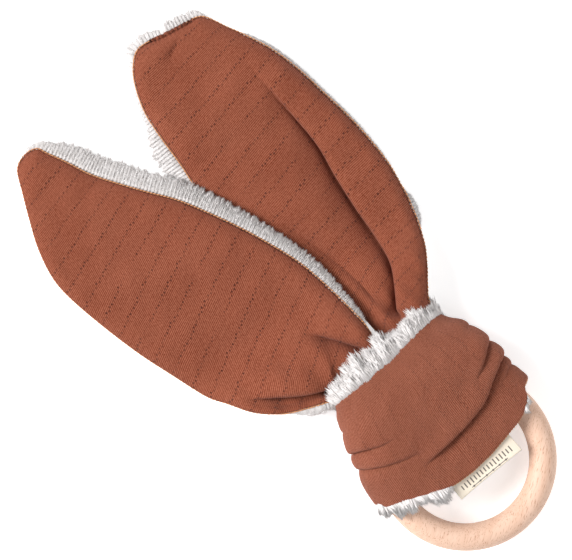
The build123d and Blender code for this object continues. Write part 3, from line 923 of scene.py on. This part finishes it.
class Knot:
    """The hitched middle of the strip: the wide band at the front and the two wraps at the back."""

    creases = [
        Crease([(-15, 9.2), (-5, 10), (5, 11), (15, 12.8), (20, 14.5), (25, 17.5), (31, 20.2), (38, 22.6),
                (46, 24),
                (58, 23), (74, 17), (88, 12)], 3.0, 1.0, 1.6, 0.8, 4.5, (0.12, 0.2), 8.0),
        Crease([(19, 21.5), (25, 24.3), (31, 27.3), (38, 30.3), (48, 31.5), (62, 28), (80, 20)],
               2.3, 0.9, 1.2, 0.7, 3.2, (0.18, 0.3), 6.0),
        Crease([(-80, 20), (-62, 27), (-48, 31), (-36, 30.4), (-28, 28), (-22, 26), (-13, 24.6)],
               2.0, 0.8, 1.0, 0.7, 3.4, (0.3, 0.3), 6.0),
        Crease([(-88, 12), (-72, 18), (-54, 24.5), (-42, 25), (-32, 22), (-25, 19), (-15, 15.5), (-4, 13.2)],
               1.9, 0.7, 1.0, 0.8, 3.6, (0.25, 0.35), 6.0),
        Crease([(22, 11.5), (31, 15.5), (39, 17.5), (52, 16)], 1.1, 0.4, 0.2, 1.2, 3.0, (0.5, 0.3), 6.0),
        Crease([(30, 38), (40, 39.5), (56, 37), (76, 30)], 1.2, 0.5, 0.4, 0.9, 3.0, (0.4, 0.3), 6.0),
        Crease([(-76, 30), (-56, 37), (-40, 39), (-29, 36.5)], 1.2, 0.5, 0.4, 0.9, 3.0, (0.3, 0.45), 6.0),
    ]

    def __init__(self):
        """Spaces the columns evenly round a section, with s measured from the middle of the front."""
        angle = np.linspace(0.5 * math.pi, -1.5 * math.pi, 4001)
        x, z = self.oval(angle, 22.0)
        length = np.concatenate([[0], np.cumsum(np.hypot(np.diff(x), np.diff(z)))])
        self.girth = length[-1]
        self.spacing = (length, angle)

    @staticmethod
    def oval(angle, y):
        """The section's rounded form at the height y."""
        left, right, front = profile(KNOT_LEFT, y), profile(KNOT_RIGHT, y), profile(KNOT_FRONT, y)
        power = 2 / KNOT_ROUNDNESS
        along, up = np.cos(angle), np.sin(angle)
        x = (left + right) / 2 + (right - left) / 2 * np.sign(along) * np.abs(along) ** power
        z = (front + TABLE) / 2 + (front - TABLE) / 2 * np.sign(up) * np.abs(up) ** power
        return x, z

    def columns(self, count):
        s = np.linspace(0, self.girth, count, endpoint=False)
        angle = np.interp(s, *self.spacing)
        return np.where(s > self.girth / 2, s - self.girth, s), angle

    def edges(self, angle):
        """Where the cloth starts and stops in y, round the section."""
        x, z = self.oval(angle, 9.0)
        front = smoothstep(-4.0, 3.0, z)
        low = front * profile(FRONT_HEM, x) + (1 - front) * profile(BACK_HEM, x)
        high = front * profile(FRONT_TOP, x) + (1 - front) * BACK_TOP
        return low, high, front

    def skin(self, rows, count, depth=0.0):
        """Points and outward normals of the cloth at a depth under the knit, and its flat coordinates."""
        s, angle = self.columns(count)
        low, high, front = self.edges(angle)
        w = np.linspace(0, 1, rows)[:, None]
        y = low[None] + (high - low)[None] * w
        x, z = self.oval(np.broadcast_to(angle, y.shape), y)
        points = np.stack([x, y, z], axis=2)
        normal = self.normals(points)
        side = np.broadcast_to(s, y.shape)
        back = 1 - front[None]
        rise = 0.5 * ripples(side, y, 30.0, 7) * front[None] + 0.18 * ripples(side, y, 9.0, 9)
        shift_s, shift_y = np.zeros_like(y), np.zeros_like(y)
        for crease in self.creases:
            up, ds, dy = crease.moves(side, y)
            rise, shift_s, shift_y = rise + up, shift_s + ds, shift_y + dy
        fan = np.arctan2(x, y + 22.0)
        pleats = 0.5 + 0.5 * np.sin(fan * 34 + 1.2 * ripples(x, y, 40.0, 13))
        cleft = np.exp(-((x / 2.6) ** 2))
        rise = rise - back * (1.5 * pleats + 2.8 * cleft)
        rise = np.where(back > 0.5, np.minimum(rise, 0.25), rise)
        around = np.gradient(points, axis=1)
        around = around / np.linalg.norm(around, axis=2)[..., None]
        moved = points + normal * (rise - depth)[..., None] + around * shift_s[..., None]
        moved[..., 1] += shift_y
        flat = np.stack([y * 1.5, side], axis=2)
        return moved, self.normals(moved), flat, s, front, x

    @staticmethod
    def normals(points):
        around = np.roll(points, -1, axis=1) - np.roll(points, 1, axis=1)
        up = np.gradient(points, axis=0)
        normal = np.cross(around, up)
        return normal / np.linalg.norm(normal, axis=2)[..., None]

    def knit(self):
        """The knit skin, with both its long edges turned in."""
        points, normal, flat, s, front, _ = self.skin(110, 300)
        turn = np.linspace(0, math.radians(150), 7)[1:]
        rows = [points]
        flats = [flat]
        for edge, way in ((0, -1.0), (-1, 1.0)):
            radius = 1.1
            strip, strip_flat = [], []
            for angle in turn:
                moved = points[edge] - normal[edge] * (radius * (1 - math.cos(angle)))
                moved[:, 1] += way * radius * math.sin(angle)
                strip.append(moved)
                strip_flat.append(flat[edge] + np.array([way * radius * angle, 0]))
            if edge == 0:
                rows.insert(0, np.array(strip[::-1]))
                flats.insert(0, np.array(strip_flat[::-1]))
            else:
                rows.append(np.array(strip))
                flats.append(np.array(strip_flat))
        points, flat = np.concatenate(rows), np.concatenate(flats)
        flat[..., 1] = np.where(flat[..., 1] < 0, flat[..., 1] + self.girth, flat[..., 1])
        closing = flat[:, :1].copy()
        closing[..., 1] = self.girth
        points = np.concatenate([points, points[:, :1]], axis=1)
        flat = np.concatenate([flat, closing], axis=1)
        piece = make_piece("knot_knit", points, grid_faces(*points.shape[:2]), flat, merge=0.01)
        thicken(piece, KNIT_THICKNESS)
        piece.data.materials.append(KNOT_KNIT)
        return piece

    def stitches(self, edge):
        """The sewn seam along the knot's upper or lower edge, on the turn of the knit."""
        points, normal, _, _, front, _ = self.skin(110, 300)
        row, way = (0, -1.0) if edge == "hem" else (-1, 1.0)
        line = points[row] - normal[row] * 1.0
        line[:, 1] += way * 1.15
        line = np.concatenate([line, line[:1]])
        return sew(f"knot_{edge}_stitches", line)

    def lip(self, rows, count, edge, radius, start):
        """A rolled edge of the plush that shows past the knit."""
        points, normal, _, s, front, x = self.skin(110, count)
        row, way = (0, -1.0) if edge == "hem" else (-1, 1.0)
        angle = np.linspace(math.radians(start), math.radians(LIP_END), rows)[:, None]
        size = np.broadcast_to(radius(s, front), s.shape)[None]
        base = points[row] - normal[row] * 0.5
        rolled = base[None] - normal[row][None] * (size * (1 - np.cos(angle)))[..., None]
        rolled = rolled.copy()
        rolled[..., 1] += way * size * np.sin(angle)
        out = normal[row][None] * np.cos(angle)[..., None]
        out = out.copy()
        out[..., 1] += way * np.sin(angle)
        return rolled, out, s, front, x


KNOT = Knot()


LIP_THICKNESS = 0.8
LIP_END = 200.0


def top_radius(_s, front):
    return 1.4 + 1.3 * front


def hem_radius(s, front):
    left = smoothstep(-52, -34, s) * (1 - smoothstep(-14, -6, s))
    return 0.8 + 0.9 * left * front


def knot_lip(edge):
    """The plush along one edge of the knot: its woven base and its pile."""
    radius, start = (top_radius, -20.0) if edge == "top" else (hem_radius, -10.0)
    rolled, out, s, front, _ = KNOT.lip(14, 300, edge, radius, start)
    faces = grid_faces(*rolled.shape[:2], closed=True)
    turn = np.linspace(0, 1, rolled.shape[0])[:, None]
    if edge == "top":
        uneven = 1 + 0.22 * np.sin(s * 0.31 + 0.6) + 0.14 * np.sin(s * 0.83)
        thick = 3.2 + 2.0 * np.exp(-(((s + 8) / 18) ** 2))
        length = (2.2 + thick * front * uneven)[None] + 0.0 * turn
        density = (0.35 + 0.65 * front[None]) * (1 - smoothstep(0.75, 1.0, turn))
        way, amount, spacing = 1.0, 17.0, 1.9
    else:
        faces = [tuple(reversed(face)) for face in faces]
        left = smoothstep(-54, -38, s) * (1 - smoothstep(-16, -8, s)) * front
        right = smoothstep(26, 29, s) * (1 - smoothstep(31, 35, s)) * front
        length = (1.0 + 4.6 * left + 2.6 * right)[None] + 0.0 * turn
        density = (0.05 + 0.95 * left + 0.5 * right)[None] * (1 - smoothstep(0.8, 1.0, turn))
        way, amount, spacing = -1.0, 14.0, 1.8
    base = make_piece(f"knot_{edge}_plush", rolled, faces)
    thicken(base, LIP_THICKNESS)
    base.data.materials.append(PLUSH)
    toward = out * 0.22
    toward[..., 1] += 1.0 * way
    toward /= np.linalg.norm(toward, axis=2)[..., None]
    hair = locks(rolled, toward, length, spacing, 29, gather=0.78)
    pile = grow_pile(f"knot_{edge}_pile", rolled, faces, hair, density, amount, 31, 2.2, 0.4, KNOT_PILE)
    return base, pile


def knot_lining():
    """The plush inside the knot, against the ring."""
    points, _, _, _, _, _ = KNOT.skin(40, 180, depth=2.6)
    faces = grid_faces(points.shape[0], points.shape[1], closed=True)
    piece = make_piece("knot_plush_lining", points, faces)
    thicken(piece, 1.0)
    piece.data.materials.append(PLUSH)
    return piece


LEG_CUT = 42.0
LEG_PLEATS = 5
LEG_WIDTH = 19.6


def pleat_depth():
    """How deep the pleats must be for a cloth as wide as the cut to gather into the leg's width."""
    u = np.linspace(0, 1, 2001)
    low, high = 0.0, 6.0
    for _ in range(40):
        depth = (low + high) / 2
        wave = depth * np.sin(2 * math.pi * LEG_PLEATS * u)
        arc = np.hypot(np.diff(u * LEG_WIDTH), np.diff(wave)).sum()
        low, high = (depth, high) if arc < LEG_CUT else (low, depth)
    return (low + high) / 2


def leg(side):
    """A leg of the strip, gathered in pleats: up through the ring, over its rod and out under the band."""
    way = -1 if side == "left" else 1
    rows, columns = 70, 160
    route = curve_through(
        [(15, -6.4), (10.5, -4.6), (8.5, 0), (11, 6), (18, 8.6), (30, 9.2), (42, 7.4), (52, 5.0)], rows
    )
    tangent = np.gradient(route, axis=0)
    tangent = tangent / np.linalg.norm(tangent, axis=1)[:, None]
    across = np.stack([np.zeros(rows), -tangent[:, 1], tangent[:, 0]], axis=1)
    u = np.linspace(0, 1, columns)[None]
    along = np.concatenate([[0], np.cumsum(np.linalg.norm(np.diff(route, axis=0), axis=1))])[:, None]
    drift = 0.5 * np.sin(along * 0.09 + way) + 0.3 * np.sin(along * 0.21 + 2 * u)
    wave = pleat_depth() * np.sin(2 * math.pi * LEG_PLEATS * u + drift)
    points = np.zeros((rows, columns, 3))
    points[..., 0] = way * 11.2 + (u - 0.5) * LEG_WIDTH
    points[..., 1], points[..., 2] = route[:, :1], route[:, 1:]
    points += across[:, None, :] * (wave + KNIT_THICKNESS / 2)[..., None]
    girth = np.concatenate([[0], np.cumsum(np.hypot(np.diff(points[35, :, 0]), np.diff(wave[35])))])
    flat = np.stack([girth[None] + 0 * along, along + 0 * girth[None]], axis=2)
    piece = make_piece(f"knot_{side}_leg", points, grid_faces(rows, columns), flat)
    thicken(piece, KNIT_THICKNESS)
    piece.data.materials.append(KNOT_KNIT)
    return piece, (LEG_CUT * MM, float(along[-1, 0]) * MM)


# ---------------------------------------------------------------- tab
def woven_tab():
    """The folded tab sewn into the knot's lower edge."""
    (x0, y0, z0), (x1, y1, z1) = LABEL_BOX
    columns, rows = 60, 40
    across = np.linspace(-1, 1, columns)
    depth = y1 - y0 + 5.0
    loop = np.linspace(0, 2 * depth, rows)
    fall = depth - np.abs(loop - depth)
    layer = np.where(loop < depth, 1.0, -1.0)
    round_end = np.clip((depth - fall) / 0.8, 0, 1)
    gap = 0.28 * layer * np.sqrt(1 - (1 - round_end) ** 2)
    centre = (x0 + x1) / 2 - 1.0
    x = centre + across[None] * (x1 - x0) / 2 * (1 + 0.01 * fall[:, None] / depth)
    y = y1 + 5.0 - fall[:, None] * (0.95 + 0.03 * across[None] ** 2)
    curl = 0.5 * np.sin(across[None] * 2.3 + 0.5) * (fall[:, None] / depth) ** 2
    z = (z0 + z1) / 2 + gap[:, None] + curl
    points = np.stack([x + 0 * y, y + 0 * x, z + 0 * x], axis=2)
    flat = np.zeros((rows, columns, 2))
    flat[..., 0] = across[None] * (x1 - x0) / 2
    flat[..., 1] = (depth - fall)[:, None]
    piece = make_piece("woven_tab", points, [tuple(reversed(f)) for f in grid_faces(rows, columns)], flat)
    thicken(piece, 0.3)
    piece.data.materials.append(TAPE)
    return piece


# ---------------------------------------------------------------- floor
floor_mesh = bpy.data.meshes.new("floor")
FLOOR_SIZE = 6.0
corners = [(-FLOOR_SIZE, -FLOOR_SIZE), (FLOOR_SIZE, -FLOOR_SIZE), (FLOOR_SIZE, FLOOR_SIZE),
           (-FLOOR_SIZE, FLOOR_SIZE)]
floor_mesh.from_pydata([(x, y, TABLE * MM) for x, y in corners], [], [(0, 1, 2, 3)])
floor = bpy.data.objects.new("floor", floor_mesh)
bpy.context.scene.collection.objects.link(floor)
floor_finish = Finish("pale_floor", Roughness=0.9, Specular_IOR_Level=0.1, Emission_Strength=0.4)
floor_finish.shader.inputs["Emission Color"].default_value = (1.0, 1.0, 1.0, 1.0)
floor_tone = floor_finish.noise(floor_finish.place(), 0.01)
floor_finish.feed("Base Color", floor_finish.blend(floor_tone, rgb(250, 250, 250), rgb(252, 252, 252)))
floor_mesh.materials.append(floor_finish.material)

# ---------------------------------------------------------------- assembly
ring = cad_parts["wooden_ring"]
ring.data.materials.clear()
ring.data.materials.append(BEECH)

# The leaf's cut in metres: its width is square to its own middle line, and the ears lean.
LEAF_WIDTH, LEAF_LENGTH = 0.062, 0.170
LEAF_SHARE = 0.73  # the leaf's area over its width times its length
SEAM_TURN = 0.003  # knit turned in past the seam, each side
PLUSH_BORDER = 0.008  # plush left showing past the seam, each side
for ear in (LEFT_EAR, RIGHT_EAR):
    side = ear.side
    knit, panel, stitches = ear.knit(), ear.plush(), ear.stitches()
    edge_pile, under_pile = ear.edge_pile(), ear.under_pile()
    for piece, slot in (
        (knit, "knit"), (panel, "plush"), (edge_pile, "plush"), (under_pile, "plush"), (stitches, "thread")
    ):
        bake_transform(piece)
    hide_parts(f"{side}_ear_face", f"{side}_root_face")
    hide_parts(f"{side}_ear_plush", f"{side}_root_plush")
    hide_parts(f"{side}_ear_seam")
    for piece, rests, border, pieces in (
        (knit, panel, SEAM_TURN, [stitches]), (panel, floor, PLUSH_BORDER, [edge_pile, under_pile])
    ):
        size = (LEAF_WIDTH + 2 * border, LEAF_LENGTH + 2 * border)
        area = size[0] * size[1] * LEAF_SHARE

knot_knit, lining = KNOT.knit(), knot_lining()
top_plush, top_pile = knot_lip("top")
hem_plush, hem_pile = knot_lip("hem")
top_stitches, hem_stitches = KNOT.stitches("top"), KNOT.stitches("hem")
(left_leg, leg_cut), (right_leg, _) = leg("left"), leg("right")
for piece, slot in (
    (knot_knit, "knit"), (left_leg, "knit"), (right_leg, "knit"),
    (lining, "plush"), (top_plush, "plush"), (top_pile, "plush"), (hem_plush, "plush"), (hem_pile, "plush"),
    (top_stitches, "thread"), (hem_stitches, "thread"),
):
    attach(piece, "knot")
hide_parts("band_face", "wrap_left_face", "wrap_right_face")
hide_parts("band_plush", "wrap_left_plush", "wrap_right_plush")
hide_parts("band_top_seam")
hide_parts("band_hem_seam")
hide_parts("leg_left")
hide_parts("leg_right")

tab = woven_tab()
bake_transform(tab)
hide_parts("label_tab")

# ---------------------------------------------------------------- light and camera
world = bpy.data.worlds.new("studio")
bpy.context.scene.world = world
world.use_nodes = True
world.node_tree.nodes["Background"].inputs["Color"].default_value = (1.0, 1.0, 1.0, 1.0)
world.node_tree.nodes["Background"].inputs["Strength"].default_value = 0.42


def softbox(name, place, target, size, watts):
    """A square soft light at place, facing target, in metres."""
    light = bpy.data.lights.new(name, "AREA")
    light.shape = "SQUARE"
    light.size = size
    light.energy = watts
    lamp = bpy.data.objects.new(name, light)
    away = [a - b for a, b in zip(place, target)]
    flat = math.hypot(away[0], away[1])
    lamp.location = place
    lamp.rotation_euler = (math.atan2(flat, away[2]), 0.0, math.atan2(away[1], away[0]) + math.pi / 2)
    bpy.context.scene.collection.objects.link(lamp)


OBJECT_MIDDLE = (-0.01, 0.09, 0.0)
softbox("key_light", (-1.15, 1.35, 1.3), OBJECT_MIDDLE, 1.1, 68.0)
softbox("fill_light", (0.6, -0.9, 1.1), OBJECT_MIDDLE, 1.2, 9.0)

LENS = 100.0
SENSOR = 36.0
VIEW_WIDTH = 0.2196
VIEW_CENTRE = (-0.00845, 0.0971)
camera_data = bpy.data.cameras.new("camera")
camera_data.lens = LENS
camera_data.sensor_width = SENSOR
camera_data.clip_end = 20.0
camera = bpy.data.objects.new("camera", camera_data)
camera.location = (*VIEW_CENTRE, VIEW_WIDTH * LENS / SENSOR)
camera.rotation_euler = (0.0, 0.0, math.radians(-40.0))
bpy.context.scene.collection.objects.link(camera)
bpy.context.scene.camera = camera
bpy.context.scene.view_settings.view_transform = "Standard"
